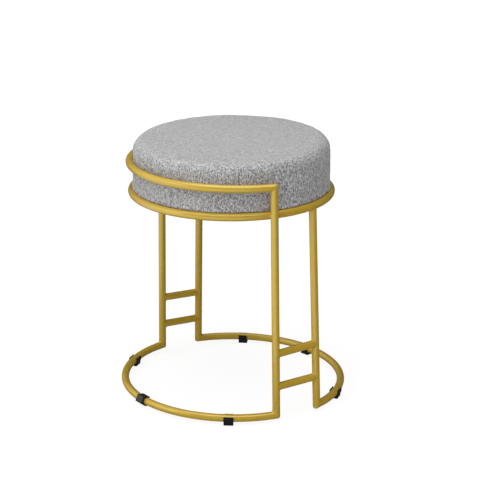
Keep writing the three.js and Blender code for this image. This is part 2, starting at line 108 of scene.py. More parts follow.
class Graph:
    def __init__(self, tree):
        self.tree = tree
        tree.nodes.clear()

    def node(self, kind, sockets=None, out=0, **settings):
        made = setAll(self.tree.nodes.new(kind), **settings)
        for key, value in (sockets or {}).items():
            if isinstance(value, Wire):
                self.tree.links.new(value.socket, made.inputs[key])
            else:
                made.inputs[key].default_value = value
        return Wire(self, made.outputs[out]) if len(made.outputs) else None

    def outputs(self, kind, sockets=None):  # every output of one node, by its name
        made = self.node(kind, sockets).socket.node
        return {output.name: Wire(self, output) for output in made.outputs}

    def split(self, vector):
        return self.outputs("ShaderNodeSeparateXYZ", {0: vector}).values()

    def combine(self, x=0, y=0, z=0):
        return self.node("ShaderNodeCombineXYZ", {0: x, 1: y, 2: z})

    def vectorMath(self, operation, vector, other=(0, 0, 0), out=0):
        return self.node("ShaderNodeVectorMath", {0: vector, 1: other}, out, operation=operation)

    def mapRange(self, value, fromPair, toPair=(0.0, 1.0), kind="LINEAR"):
        sockets = dict(enumerate((value, *fromPair, *toPair)))
        return self.node("ShaderNodeMapRange", sockets, interpolation_type=kind)

    def smoothRange(self, value, fromPair, toPair=(0.0, 1.0)):
        return self.mapRange(value, fromPair, toPair, "SMOOTHSTEP")

    def mix(self, factor, a, b):  # colours a and b, b at factor 1
        a, b = ((*c, 1) if isinstance(c, tuple) else c for c in (a, b))
        return self.node("ShaderNodeMix", {0: factor, 6: a, 7: b}, 2, data_type="RGBA")

    def ramp(self, value, *stops):
        colour = self.node("ShaderNodeValToRGB", {0: value})
        elements = colour.socket.node.color_ramp.elements
        while len(elements) < len(stops):
            elements.new(1)
        for element, (place, stop) in zip(elements, stops):
            element.position = place
            element.color = (*stop, 1)
        return colour

    def noise(self, place, size, detail=2.0, roughness=0.5, distortion=0.0):
        return self.node("ShaderNodeTexNoise", {
            "Vector": place, "Scale": 1 / size, "Detail": detail, "Roughness": roughness,
            "Distortion": distortion})

    def cells(self, place, size, distance="EUCLIDEAN", randomness=1.0):
        sockets = {"Vector": place, "Scale": 1 / size, "Randomness": randomness}
        return self.node("ShaderNodeTexVoronoi", sockets, feature="F1", distance=distance)

    def objectPlace(self, stretch=(1, 1, 1), turn=(0, 0, 0)):
        place = self.node("ShaderNodeTexCoord", None, 3)
        return self.node("ShaderNodeMapping", {"Vector": place, "Rotation": turn, "Scale": stretch})

    def attribute(self, name):
        return self.node("ShaderNodeAttribute", None, 2, attribute_name=name)


def newMaterial(name):  # its graph, and the place on the object
    material = bpy.data.materials.new(name)
    material.use_nodes = True
    graph = Graph(material.node_tree)
    graph.material = material
    return graph, graph.objectPlace()


def surface(graph, bump, **sockets):  # bump is a height, its distance and its strength
    values = {key.replace("_", " "): value for key, value in sockets.items()}
    values["Normal"] = graph.node("ShaderNodeBump", dict(zip(("Height", "Distance", "Strength"), bump)))
    shader = graph.node("ShaderNodeBsdfPrincipled", values)
    graph.node("ShaderNodeOutputMaterial", {"Surface": shader})
    return graph.material


def sceneObject(name, data, matrix=Matrix()):
    made = bpy.data.objects.new(name, data)
    made.matrix_world = matrix
    scene.collection.objects.link(made)
    return made


def meshObject(name, vertices, faces, material, edges=()):
    mesh = bpy.data.meshes.new(name)
    mesh.from_pydata([tuple(v) for v in vertices], list(edges), faces)
    if material:
        mesh.materials.append(material)
    return sceneObject(name, mesh)


# Camera: it stands where the photograph was taken from
view = {
    "azimuth": 57.2,  # degrees round from -Y towards +X
    "aside": (1.1 * mm, 1.7 * mm),
    "distance": 2674 * mm,
    "height": 1122 * mm,
    "pitch": 17.802,
    "yaw": 0.273,
    "roll": 0.096,
    "lens": 121.12,
    "sensor": 36,
}


def placeCamera():
    turn = Matrix.Rotation(radians(view["azimuth"]), 3, "Z")
    pitch, yaw, roll = (radians(view[key]) for key in ("pitch", "yaw", "roll"))
    forward = turn @ Vector((sin(yaw) * cos(pitch), cos(yaw) * cos(pitch), -sin(pitch)))
    right = turn @ Vector((cos(yaw), -sin(yaw), 0))
    up = right.cross(forward)
    leanRight = cos(roll) * right + sin(roll) * up
    leanUp = cos(roll) * up - sin(roll) * right
    data = setAll(bpy.data.cameras.new("camera"), lens=view["lens"], sensor_width=view["sensor"],
                  sensor_fit="HORIZONTAL")
    rotation = Matrix((leanRight, leanUp, -forward)).transposed().to_4x4()
    place = turn @ Vector((0, -view["distance"], view["height"])) + Vector((*view["aside"], 0))
    scene.camera = sceneObject("camera", data, Matrix.Translation(place) @ rotation)


placeCamera()
print("camera placed")

# Studio: a white floor and world, a large soft lamp overhead and one at the side
studio = {
    "floorSize": 60,
    "floorColor": (0.82, 0.82, 0.82),
    "floorGlow": 0.80,  # share of the white glow that is seen in the floor
    "glow": (1.12, 1.30),  # its strength under the stool, and beyond the last distance
    "glowDistances": (0.5, 3.5),
    "mirrorShare": 1.0,  # share of the glow that mirrored and refracted rays see
    "mirrorAzimuth": 10,  # where the floor's glow is brightest to them, a painted pool of light
    "mirrorRise": 0.0,
    "mirrorTurns": (0.0, 0.7),  # cosines from that place between which it falls off
    "mirrorGlow": (0.10, 0.95),  # its least and most strength to them
    "mirrorDistances": (0.24, 0.58),  # a painted shadow of the stool dims the glow within the first
    "brightAzimuth": 5,  # where the backdrop is brightest
    "brightRise": 0.15,
    "brightTurns": (-0.35, 0.8),
    "brightSide": 0.97,
    "darkSide": 0.08,
    "roomAzimuth": 57,  # the room before the backdrop, which only gloss shows
    "roomRise": 0.55,
    "roomTurns": (0.45, 0.95),
    "roomShade": 0.92,
    "lamps": [  # azimuth from -Y, elevation, distance, size, watts
        ("overheadLamp", 60, 79, 2.3, 2.7, 29),
        ("leftLamp", -5, 22, 2.6, 0.9, 3),
    ],
}


def seenRays(graph):
    rays = graph.outputs("ShaderNodeLightPath")
    return rays["Is Camera Ray"], (rays["Is Glossy Ray"] + rays["Is Transmission Ray"]).cap()


def facingShare(graph, direction, place):  # 1 towards that place, 0 away from it
    a = radians(studio[place + "Azimuth"])
    facing = graph.vectorMath("DOT_PRODUCT", direction, (sin(a), -cos(a), studio[place + "Rise"]), 1)
    return graph.smoothRange(facing, studio[place + "Turns"])


def makeFloor():
    graph, place = newMaterial("white_floor")
    matte = graph.node("ShaderNodeBsdfDiffuse", {"Color": (*studio["floorColor"], 1)})
    distance = graph.vectorMath("LENGTH", place, out=1)
    direction = graph.vectorMath("NORMALIZE", place)
    seen = graph.smoothRange(distance, studio["glowDistances"], studio["glow"])
    # the glow that mirrors see holds a painted shadow of the stool and a painted pool of light
    least, most = studio["mirrorGlow"]
    lit = graph.smoothRange(distance, studio["mirrorDistances"])
    mirrored = least + facingShare(graph, direction, "mirror") * lit * (most - least)
    camera, mirror = seenRays(graph)
    glow = graph.node("ShaderNodeEmission", {
        "Color": (1, 1, 1, 1), "Strength": camera * seen + mirror * mirrored})
    share = camera * studio["floorGlow"] + mirror * studio["mirrorShare"]
    shader = graph.node("ShaderNodeMixShader", {0: share, 1: matte, 2: glow})
    graph.node("ShaderNodeOutputMaterial", {"Surface": shader})
    half = studio["floorSize"] / 2
    corners = [(x * half, y * half, 0) for x, y in ((-1, -1), (1, -1), (1, 1), (-1, 1))]
    meshObject("floor", corners, [(0, 1, 2, 3)], graph.material)


def lightWorld():
    world = bpy.data.worlds.new("studio")
    world.use_nodes = True
    scene.world = world
    graph = Graph(world.node_tree)
    direction = graph.node("ShaderNodeTexCoord")
    bright = facingShare(graph, direction, "bright") * (studio["brightSide"] - studio["darkSide"])
    room = seenRays(graph)[1] * facingShare(graph, direction, "room") * studio["roomShade"]
    strength = (studio["darkSide"] + bright) * (1 - room)
    background = graph.node("ShaderNodeBackground", {"Color": (1, 1, 1, 1), "Strength": strength})
    graph.node("ShaderNodeOutputWorld", {"Surface": background})


def hangLamp(name, azimuth, elevation, distance, size, watts):
    data = setAll(bpy.data.lights.new(name, "AREA"), shape="DISK", size=size, energy=watts)
    a, e = radians(azimuth), radians(elevation)
    back = Vector((sin(a) * cos(e), -cos(a) * cos(e), sin(e)))
    aim = Vector((0, 0, (cadBounds[0][2] + cadBounds[1][2]) / 2))
    turn = back.to_track_quat("Z", "Y").to_matrix().to_4x4()
    sceneObject(name, data, Matrix.Translation(aim + back * distance) @ turn).visible_camera = False


makeFloor()
lightWorld()
for lampValues in studio["lamps"]:
    hangLamp(*lampValues)
scene.view_settings.view_transform = "Standard"
print("studio lit")

# Finishes
goldPaint = {
    "light": (0.72, 0.475, 0.035),
    "deep": (0.62, 0.375, 0.012),
    # the paler colour of worn paint, which also paints the flakes' glint
    "paleAndWorn": (0.78, 0.60, 0.20),
    "glossTint": (0.92, 0.90, 0.48),
    "glossIndex": 2.25,
    "metallic": 0.10,
    "roughness": 0.31,
    "coat": 0.5,
    "coatRoughness": 0.22,
    "patchSize": 38 * mm,
    "flakeSize": 0.35 * mm,
    "glintRange": (0.56, 0.74),  # of the flakes' noise, from no glint to all of it
    "glintShare": 0.35,
    "peelSize": 2.6 * mm,
    "peelHeight": 0.10 * mm,
}


def makeGoldPaint():
    graph, place = newMaterial("satin_gold_paint")
    patches = graph.noise(place, goldPaint["patchSize"], 3.0, 0.55)
    flakes = graph.noise(place, goldPaint["flakeSize"], 1.0, 0.4)
    peel = graph.noise(place, goldPaint["peelSize"])
    colour = graph.mix(patches, goldPaint["deep"], goldPaint["light"])
    # painted glint: the flakes are coloured paler, as if they caught the light
    glint = graph.mapRange(flakes, goldPaint["glintRange"], (0.0, goldPaint["glintShare"]))
    colour = graph.mix(glint, colour, goldPaint["paleAndWorn"])
    wear = graph.attribute("wear") * (0.4 + peel * 0.8)
    colour = graph.mix(wear.cap(), colour, goldPaint["paleAndWorn"])
    roughness = goldPaint["roughness"] + (patches - 0.5) * 0.16 + (flakes - 0.5) * 0.12 - wear * 0.08
    return surface(graph, (peel * 0.8 + flakes * 0.2, goldPaint["peelHeight"], 0.55), Base_Color=colour,
                   Roughness=roughness, Metallic=goldPaint["metallic"], IOR=goldPaint["glossIndex"],
                   Specular_Tint=(*goldPaint["glossTint"], 1), Coat_Weight=goldPaint["coat"],
                   Coat_Roughness=goldPaint["coatRoughness"])


blackPlastic = {
    "color": (0.010, 0.010, 0.011),
    "scuffed": (0.032, 0.032, 0.033),
    "roughness": 0.34,
    "gloss": 0.7,
    "grain": 0.5 * mm,
    "grainHeight": 0.06 * mm,
    "scuff": 3.2 * mm,
}


def makeBlackPlastic():
    graph, place = newMaterial("moulded_black_plastic")
    grain = graph.noise(place, blackPlastic["grain"], 2.0, 0.6)
    scuffs = graph.noise(graph.objectPlace((1, 1, 5)), blackPlastic["scuff"], 4.0, 0.65)
    paleAndWorn = graph.mapRange(scuffs, (0.58, 0.78), (0.0, 0.7))
    colour = graph.mix(paleAndWorn, blackPlastic["color"], blackPlastic["scuffed"])
    roughness = blackPlastic["roughness"] + (grain - 0.5) * 0.2 + paleAndWorn * 0.18
    return surface(graph, (grain, blackPlastic["grainHeight"], 0.5), Base_Color=colour,
                   Roughness=roughness, Specular_IOR_Level=blackPlastic["gloss"])


zincPlate = {
    "bright": (0.62, 0.64, 0.66),
    "dull": (0.42, 0.43, 0.42),
    "roughness": 0.30,
    "cloud": 4 * mm,
    "spangle": 0.8 * mm,
    "relief": 0.03 * mm,
}


def makeZincPlate():
    graph, place = newMaterial("zinc_plated_steel")
    cloud = graph.noise(place, zincPlate["cloud"], 3.0, 0.6)
    spangle = graph.cells(place, zincPlate["spangle"])
    colour = graph.mix(cloud, zincPlate["dull"], zincPlate["bright"])
    roughness = zincPlate["roughness"] + (cloud - 0.5) * 0.2 + spangle * 0.06
    return surface(graph, (spangle, zincPlate["relief"], 0.4), Base_Color=colour, Roughness=roughness,
                   Metallic=1.0)


plywood = {
    "pale": (0.62, 0.44, 0.26),
    "dark": (0.40, 0.25, 0.12),
    "ply": 1.5 * mm,
    "grain": 2.2 * mm,
    "grainHeight": 0.15 * mm,
    "ring": 60 * mm,
}


def makePlywood():
    graph, place = newMaterial("raw_plywood")
    grain = graph.noise(graph.objectPlace((1, 0.06, 1)), plywood["grain"], 5.0, 0.6, 0.3)
    rings = graph.node("ShaderNodeTexWave", {
        "Vector": graph.objectPlace((1, 0.12, 1)), "Scale": 1 / plywood["ring"], "Distortion": 6.0,
        "Detail": 3.0}, 1, wave_type="BANDS", bands_direction="X")
    x, y, z = graph.split(place)
    layers = (z / plywood["ply"]).join("FRACT").join("GREATER_THAN", 0.5)
    colour = graph.mix((grain * 0.6 + rings * 0.4).cap(), plywood["dark"], plywood["pale"])
    colour = graph.mix(layers * 0.35, colour, plywood["dark"])
    return surface(graph, (grain, plywood["grainHeight"], 0.6), Base_Color=colour,
                   Roughness=0.62 + grain * 0.2)


padFoam = {
    "color": (0.80, 0.74, 0.52),
    "cellShade": (0.58, 0.49, 0.29),
    "cell": 0.9 * mm,
    "cellDepth": 0.5 * mm,
    "agedSize": 60 * mm,
}


def makePadFoam():
    graph, place = newMaterial("open_cell_foam")
    cells = graph.cells(place, padFoam["cell"])
    aged = graph.noise(place, padFoam["agedSize"])
    colour = graph.mix((cells * 0.9 + (aged - 0.5) * 0.5).cap(), padFoam["color"], padFoam["cellShade"])
    return surface(graph, (cells, padFoam["cellDepth"], 0.8), Base_Color=colour, Roughness=0.92 + aged * 0.05)


goldFinish = makeGoldPaint()
plasticFinish = makeBlackPlastic()
zincFinish = makeZincPlate()
plyFinish = makePlywood()
foamFinish = makePadFoam()
print("hard finishes made")


# Meshes: small helpers that the pieces share
def settle(piece):  # the piece's modifiers become its mesh
    bpy.context.view_layer.update()
    evaluated = piece.evaluated_get(bpy.context.evaluated_depsgraph_get())
    mesh = bpy.data.meshes.new_from_object(evaluated)
    piece.modifiers.clear()
    old = piece.data
    piece.data = mesh
    mesh.name = piece.name
    bpy.data.meshes.remove(old)
    return piece


def modified(piece, kind, **settings):
    setAll(piece.modifiers.new(kind, kind), **settings)
    return settle(piece)


def bevelled(piece, width):
    return modified(piece, "BEVEL", width=width, segments=2, limit_method="ANGLE", angle_limit=radians(35))


def shade(piece, angle=None):
    piece.data.polygons.foreach_set("use_smooth", [True] * len(piece.data.polygons))
    if angle:
        piece.data.set_sharp_from_angle(angle=radians(angle))
    return piece


@contextmanager
def meshEdit(source, target=None):
    sheet = bmesh.new()
    sheet.from_mesh(source.data)
    yield sheet
    sheet.to_mesh((target or source).data)
    sheet.free()


def outward(piece):
    with meshEdit(piece) as sheet:
        bmesh.ops.recalc_face_normals(sheet, faces=sheet.faces)
    return piece


def keepPiece(piece, slot, *nodes):
    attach(piece, "root")
    if nodes:
        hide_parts(*nodes)


def numbered(stem, count):
    return [stem + str(i + 1) for i in range(count)]


def joinPieces(name, parts):
    target = parts[0]
    target.name = target.data.name = name
    with bpy.context.temp_override(active_object=target, selected_editable_objects=parts):
        bpy.ops.object.join()
    return target


def storeOnPoints(piece, name, values):
    data = piece.data.attributes.new(name, "FLOAT", "POINT").data
    data.foreach_set("value", np.asarray(values, np.float32))


def turnsRound(count):
    return [fullTurn * i / count for i in range(count)]


def arc(x, y, radius, start, finish, steps):
    angles = [start + (finish - start) * i / steps for i in range(steps + 1)]
    return [(x + radius * cos(a), y + radius * sin(a)) for a in angles]


def circle(x, y, radius, steps):
    return arc(x, y, radius, 0, fullTurn, steps)[:-1]


def line(name, points, closed=False):
    edges = [(i, i + 1) for i in range(len(points) - 1)] + [(len(points) - 1, 0)] * closed
    return meshObject(name, points, [], None, edges)


def plate(sheet, loops, height):  # a flat face with holes
    for loop in loops:
        points = [sheet.verts.new((x, y, height)) for x, y in loop]
        for a, b in zip(points, points[1:] + points[:1]):
            sheet.edges.new((a, b))
    filled = bmesh.ops.triangle_fill(sheet, edges=sheet.edges[:], use_beauty=True)
    return [g for g in filled["geom"] if isinstance(g, bmesh.types.BMFace)]


def loft(name, sections, material, closed=False):  # its end sections get a face, or meet when it is closed
    count = len(sections[0])
    vertices = [point for section in sections for point in section]
    last = len(vertices) - count
    faces = [] if closed else [tuple(range(count - 1, -1, -1)), tuple(range(last, last + count))]
    for i in range(len(sections) - (not closed)):
        j = (i + 1) % len(sections)
        for k in range(count):
            m = (k + 1) % count
            faces.append((i * count + k, j * count + k, j * count + m, i * count + m))
    return outward(meshObject(name, vertices, faces, material))


def revolved(name, outline, sides, material, hexRows=()):  # hexRows are the outline's hexagonal points
    vertices, faces, rings = [], [], []
    for i, (r, z) in enumerate(outline):
        turns = turnsRound(sides) if r else [0]
        rings.append(range(len(vertices), len(vertices) + len(turns)))
        for a in turns:
            flat = cos(a % (pi / 3) - pi / 6) if i in hexRows else 1
            vertices.append((r / flat * cos(a), r / flat * sin(a), z))
    for low, high in zip(rings, rings[1:]):
        for k in range(sides):
            m = (k + 1) % sides
            face = [ring[n % len(ring)] for ring, n in ((low, k), (low, m), (high, m), (high, k))]
            faces.append(tuple(dict.fromkeys(face)))
    return meshObject(name, vertices, faces, material)


def geometryTree(name, inputs):
    tree = bpy.data.node_groups.new(name, "GeometryNodeTree")
    graph = Graph(tree)
    for key, kind in {"Geometry": "Geometry", **inputs, "finish": "Material"}.items():
        tree.interface.new_socket(key, in_out="INPUT", socket_type="NodeSocket" + kind)
    tree.interface.new_socket("Geometry", in_out="OUTPUT", socket_type="NodeSocketGeometry")
    return graph, graph.outputs("NodeGroupInput")


def endTree(graph, geometry, material):
    whole = graph.node("GeometryNodeRealizeInstances", {0: geometry})
    smooth = graph.node("GeometryNodeSetShadeSmooth", {0: whole})
    painted = graph.node("GeometryNodeSetMaterial", {0: smooth, "Material": material})
    graph.node("NodeGroupOutput", {0: painted})
    return graph.tree


def applyTree(target, tree, **values):
    modifier = target.modifiers.new(tree.name, "NODES")
    modifier.node_group = tree
    for item in tree.interface.items_tree:
        if item.in_out == "INPUT" and item.name in values:
            modifier[item.identifier] = values[item.name]
    settle(target)


# A tube swept along its axis, which comes in as a line of edges
def tubeTree():
    graph, wires = geometryTree("tubeAlongAxis", {"tubeRadius": "Float", "sides": "Int"})
    axis = graph.node("GeometryNodeMeshToCurve", {0: wires["Geometry"]})
    section = graph.node("GeometryNodeCurvePrimitiveCircle", {
        "Resolution": wires["sides"], "Radius": wires["tubeRadius"]}, mode="RADIUS")
    tube = graph.node("GeometryNodeCurveToMesh", {
        "Curve": axis, "Profile Curve": section, "Fill Caps": True})
    return endTree(graph, tube, wires["finish"])


# Copies of one piece, each turned by the bearing stored on its point
def endWithCopies(graph, wires, piece, skew=0.0):
    bearing = graph.node("GeometryNodeInputNamedAttribute", {"Name": "bearing"}, data_type="FLOAT")
    rotation = graph.node("FunctionNodeEulerToRotation", {0: graph.combine(z=bearing + skew)})
    copies = graph.node("GeometryNodeInstanceOnPoints", {
        "Points": wires["Geometry"], "Instance": piece, "Rotation": rotation})
    return endTree(graph, copies, wires["finish"])


def roundTree():
    graph, wires = geometryTree("copiesRoundAxis", {"piece": "Object"})
    piece = graph.node("GeometryNodeObjectInfo", {"Object": wires["piece"]}, "Geometry")
    return endWithCopies(graph, wires, piece)


sweptTube = tubeTree()
copiesRound = roundTree()


def bearingPoints(name, points, bearings):
    piece = meshObject(name, points, [], None)
    storeOnPoints(piece, "bearing", bearings)
    return piece


def roundCopies(name, template, bearings, material, middle=(0, 0, 0)):
    group = bearingPoints(name, [middle] * len(bearings), bearings)
    applyTree(group, copiesRound, piece=template, finish=material)
    bpy.data.objects.remove(template)
    return group


def polar(bearing, radius, height):
    return Vector((radius * cos(bearing), radius * sin(bearing), height))


def heights(node):
    return [corner.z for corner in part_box(node)]


def middleHeight(node):
    low, high = heights(node)
    return (low + high) / 2


# Axes of the frame's tubes, with places along them in metres from the start
class LevelArc:
    def __init__(self, centre, radius, start, finish):
        self.centre = centre
        self.radius = radius
        self.start = start
        self.sense = 1 if finish > start else -1
        self.length = abs(finish - start) * radius

    def aside(self, s):
        return polar(self.start + self.sense * s / self.radius, 1, 0)

    def at(self, s):
        return self.centre + self.aside(s) * self.radius

    def along(self, s):
        return upward.cross(self.aside(s)) * self.sense

    def crossAxes(self, s):
        return self.aside(s), upward

    def nearest(self, point):
        flat = point - self.centre
        flat.z = 0
        return self.centre + flat.normalized() * self.radius

    def station(self, point):
        flat = point - self.centre
        a = atan2(flat.y, flat.x) - self.start
        middle = self.sense * self.length / self.radius / 2
        a += fullTurn * round((middle - a) / fullTurn)
        return self.sense * a * self.radius


class Straight:
    def __init__(self, start, finish):
        self.start = start
        self.line = (finish - start).normalized()
        self.length = (finish - start).length
        flat = Vector((start.x, start.y, 0)).normalized()
        first = flat - self.line * flat.dot(self.line)
        if first.length < 0.5:
            first = upward - self.line * self.line.z
        self.first = first.normalized()
        self.second = self.line.cross(self.first)

    def at(self, s):
        return self.start + self.line * s

    def along(self, s):
        return self.line.copy()

    def crossAxes(self, s):
        return self.first, self.second

    def nearest(self, point):
        return self.start + self.line * (point - self.start).dot(self.line)

    def station(self, point):
        return (point - self.start).dot(self.line)


stoolFrame = {
    "tubeRadius": 6.5 * mm,
    "ringRadius": 171.2 * mm,
    "baseRadius": 194.7 * mm,
    "railMiddleRadius": 172.9 * mm,
    "weldGap": 0.3 * mm,
    "railArc": (-0.3 * mm, 6.5 * mm, -90.4, 157.5),  # middle, the bearing that it faces, and its span
    "openArc": (4.4 * mm, -3.8 * mm, 90.8, 150),
    "legBearings": {  # where the legs meet the seat ring, in degrees
        "near_rail_leg": -10.5,
        "far_rail_leg": -169.9,
        "near_open_leg": 19.1,
        "far_open_leg": 167.2,
    },
    "sides": 56,
    "step": 4 * mm,
}
tubeRadius, ringRadius = stoolFrame["tubeRadius"], stoolFrame["ringRadius"]
baseHeight = middleHeight("rail_side_base_arc")
ringHeight = middleHeight("seat_ring")
railHeight = middleHeight("cushion_rail")
loopBearing = radians(stoolFrame["railArc"][2])


def baseArc(key):
    x, y, facing, span = stoolFrame[key]
    start, finish = (radians(facing + side * span / 2) for side in (-1, 1))
    return LevelArc(Vector((x, y, baseHeight)), stoolFrame["baseRadius"], start, finish)


def legAxis(foot, bearing, radius, top):
    rise = polar(radians(bearing), radius, ringHeight) - foot
    return Straight(foot, foot + rise * ((top - baseHeight) / rise.z))


def railAxis():
    far, near = (leg.at(leg.length) for leg in (axes["far_rail_leg"], axes["near_rail_leg"]))
    a, b, c = (end.to_2d() for end in (far, polar(loopBearing, stoolFrame["railMiddleRadius"], 0), near))
    x, y = np.linalg.solve([2 * (b - a), 2 * (c - a)], [b.dot(b) - a.dot(a), c.dot(c) - a.dot(a)])
    angles = [atan2(end.y - y, end.x - x) for end in (far, near)]
    if angles[0] > 0:
        angles[0] -= fullTurn
    return LevelArc(Vector((x, y, railHeight)), hypot(a.x - x, a.y - y), *angles)


axes = {"rail_side_base_arc": baseArc("railArc"), "open_side_base_arc": baseArc("openArc")}
outsideRing = ringRadius + 2 * tubeRadius + stoolFrame["weldGap"]
for loop, feet, legRadius, legTop in (("rail", (1, 0), outsideRing, railHeight),
                                      ("open", (0, 1), ringRadius, ringHeight)):
    base = axes[loop + "_side_base_arc"]
    for side, end in zip(("near", "far"), feet):
        name = f"{side}_{loop}_leg"
        axes[name] = legAxis(base.at(end * base.length), stoolFrame["legBearings"][name], legRadius, legTop)
ringStart = radians(stoolFrame["legBearings"]["far_rail_leg"])
axes["seat_ring"] = LevelArc(Vector((0, 0, ringHeight)), ringRadius, ringStart, ringStart + fullTurn)
axes["cushion_rail"] = railAxis()
for side in ("near", "far"):
    legs = [axes[f"{side}_{loop}_leg"] for loop in ("rail", "open")]
    for level in ("lower", "upper"):
        rung = f"{side}_{level}_rung"
        climb = middleHeight(rung) - baseHeight
        axes[rung] = Straight(*(leg.at(climb / leg.line.z) for leg in legs))


def skin(axis, s, turn, radius=tubeRadius):
    first, second = axis.crossAxes(s)
    return axis.at(s) + (first * cos(turn) + second * sin(turn)) * radius


def turnOf(axis, point):
    first, second = axis.crossAxes(axis.station(point))
    offset = point - axis.nearest(point)
    return atan2(offset.dot(second), offset.dot(first))


def towards(point, goal, distance):
    return point + (goal - point).normalized() * distance


def solve(function, guess, probe=1e-5, rounds=12):
    for _ in range(rounds):
        here = function(guess)
        slope = (function(guess + probe) - here) / probe
        guess -= here / slope
    return guess


# Welds: a smooth corner bead at each mitre, and a rolled fillet round each butted end
weld = {
    "innerLeg": 3.4 * mm,  # how far the bead runs along each tube inside a mitred corner
    "outerLeg": 4.2 * mm,
    "fillet": 2.8 * mm,
    "crossFillet": 1.9 * mm,
    "waver": 0.16,  # share by which a hand-laid bead varies
    "waveLength": 4.5 * mm,
    "steps": 7,
    "root": 1.6 * mm,
}
ends = {}


def waver(point):
    return 1 + weld["waver"] * noise.noise(point / weld["waveLength"])


def inwardAt(axis, atStart):
    return axis.along(0) if atStart else axis.along(axis.length) * -1


class TubeEnd:
    def __init__(self, name, atStart, partner):
        self.axis = axes[name]
        self.partner = axes[partner]
        self.into = 1 if atStart else -1
        self.corner = 0 if atStart else self.axis.length
        ends[name, atStart] = self


class MitreEnd(TubeEnd):
    def __init__(self, name, atStart, partner, partnerAtStart):
        super().__init__(name, atStart, partner)
        self.point = self.axis.at(self.corner)
        self.normal = (inwardAt(self.axis, atStart) - inwardAt(self.partner, partnerAtStart)).normalized()

    def seam(self, turn):
        return solve(lambda s: (skin(self.axis, s, turn) - self.point).dot(self.normal), self.corner)

    def edge(self, turn):
        seam = self.seam(turn)
        inner = ((seam - self.corner) * self.into / tubeRadius + 1) / 2
        leg = weld["outerLeg"] + (weld["innerLeg"] - weld["outerLeg"]) * max(0, min(1, inner)) ** 1.5
        return seam + self.into * leg * waver(skin(self.axis, seam, turn))


class ButtEnd(TubeEnd):
    def ball(self, turn):
        reach = tubeRadius + weld["fillet"] * waver(skin(self.axis, self.corner, turn))

        def gap(s):
            centre = skin(self.axis, s, turn, reach)
            return (centre - self.partner.nearest(centre)).length - reach

        return solve(gap, self.corner + self.into * reach * 1.3), reach

    def edge(self, turn):
        return self.ball(turn)[0]


mitres, butts = [], []
for loop, starts, atFoot in (("rail_side_base_arc", ("far_rail_leg", "near_rail_leg"), True),
                             ("open_side_base_arc", ("near_open_leg", "far_open_leg"), True),
                             ("cushion_rail", ("far_rail_leg", "near_rail_leg"), False)):
    for leg, atStart in zip(starts, (True, False)):
        mitres.append((MitreEnd(loop, atStart, leg, atFoot), MitreEnd(leg, atFoot, loop, atStart)))
for side in ("near", "far"):
    butts.append(ButtEnd(f"{side}_open_leg", False, "seat_ring"))
    for level in ("lower", "upper"):
        for loop in ("rail", "open"):
            butts.append(ButtEnd(f"{side}_{level}_rung", loop == "rail", f"{side}_{loop}_leg"))


def trimEnds(piece, name):
    axis = axes[name]
    sides = stoolFrame["sides"]
    vertices = piece.data.vertices
    for ring in (range(sides), range(len(vertices) - sides, len(vertices))):
        end = ends[name, axis.station(vertices[ring[0]].co) < axis.length / 2]
        for i in ring:
            turn = turnOf(axis, vertices[i].co)
            vertices[i].co = skin(axis, end.edge(turn), turn)


def makeTube(name):
    axis = axes[name]
    closed = name == "seat_ring"
    margin = 0 if closed else 3 * tubeRadius
    run = axis.length - 2 * margin
    count = max(2, ceil(run / stoolFrame["step"]))
    stations = [margin + run * i / count for i in range(count + 1)]
    stations = stations[:-1] if closed else [0, *stations, axis.length]
    piece = line(name + "_tube", [axis.at(s) for s in stations], closed)
    applyTree(piece, sweptTube, tubeRadius=tubeRadius, sides=stoolFrame["sides"], finish=goldFinish)
    if not closed:
        trimEnds(piece, name)
    keepPiece(shade(outward(piece), 50), "frame_tube", name)


def sunk(point, axis):  # a point under the tube's skin, where the weld is rooted
    return towards(point, axis.nearest(point), weld["root"])


def bead(sections, wear=0.0):
    piece = loft("bead", sections, goldFinish, True)
    storeOnPoints(piece, "wear", np.zeros(len(piece.data.vertices)) + wear)
    return piece


def mitreWeld(first, second):
    steps = weld["steps"]
    sections, wear = [], []
    for turn in turnsRound(stoolFrame["sides"]):
        seam = skin(first.axis, first.seam(turn), turn)
        start = skin(first.axis, first.edge(turn), turn)
        otherTurn = turnOf(second.axis, seam)
        finish = skin(second.axis, second.edge(otherTurn), otherTurn)
        curve = []
        for k in range(steps + 1):
            u = k / steps
            curve.append(start * (1 - u) ** 2 + seam * 2 * u * (1 - u) + finish * u ** 2)
        root = towards(seam, first.point, 2 * weld["root"])
        sections.append(curve + [sunk(finish, second.axis), root, sunk(start, first.axis)])
        ridge = max(0, (seam - first.point).length / tubeRadius - 1)
        outer = (first.seam(turn) - first.corner) * first.into < 0
        wear += [ridge * outer * 2 * sin(pi * k / steps) for k in range(steps + 1)] + [0] * 3
    return bead(sections, wear)


def fillet(centre, start, finish, deep, startAxis, finishAxis):
    a, b = start - centre, finish - centre
    angle = a.angle(b)
    points = []
    for i in range(weld["steps"] + 1):
        share = i / weld["steps"]
        points.append(centre + (a * sin((1 - share) * angle) + b * sin(share * angle)) / sin(angle))
    return points + [sunk(finish, finishAxis), deep, sunk(start, startAxis)]


def buttWeld(end):
    sections = []
    for turn in turnsRound(stoolFrame["sides"]):
        s, reach = end.ball(turn)
        centre = skin(end.axis, s, turn, reach)
        start = skin(end.axis, s, turn)
        core = end.partner.nearest(centre)
        finish = towards(core, centre, tubeRadius)
        deep = (start + finish) / 2
        for point, goal in ((start, end.axis.nearest(start)), (finish, core)):
            deep += (goal - point).normalized() * weld["root"]
        sections.append(fillet(centre, start, finish, deep, end.axis, end.partner))
    return bead(sections)


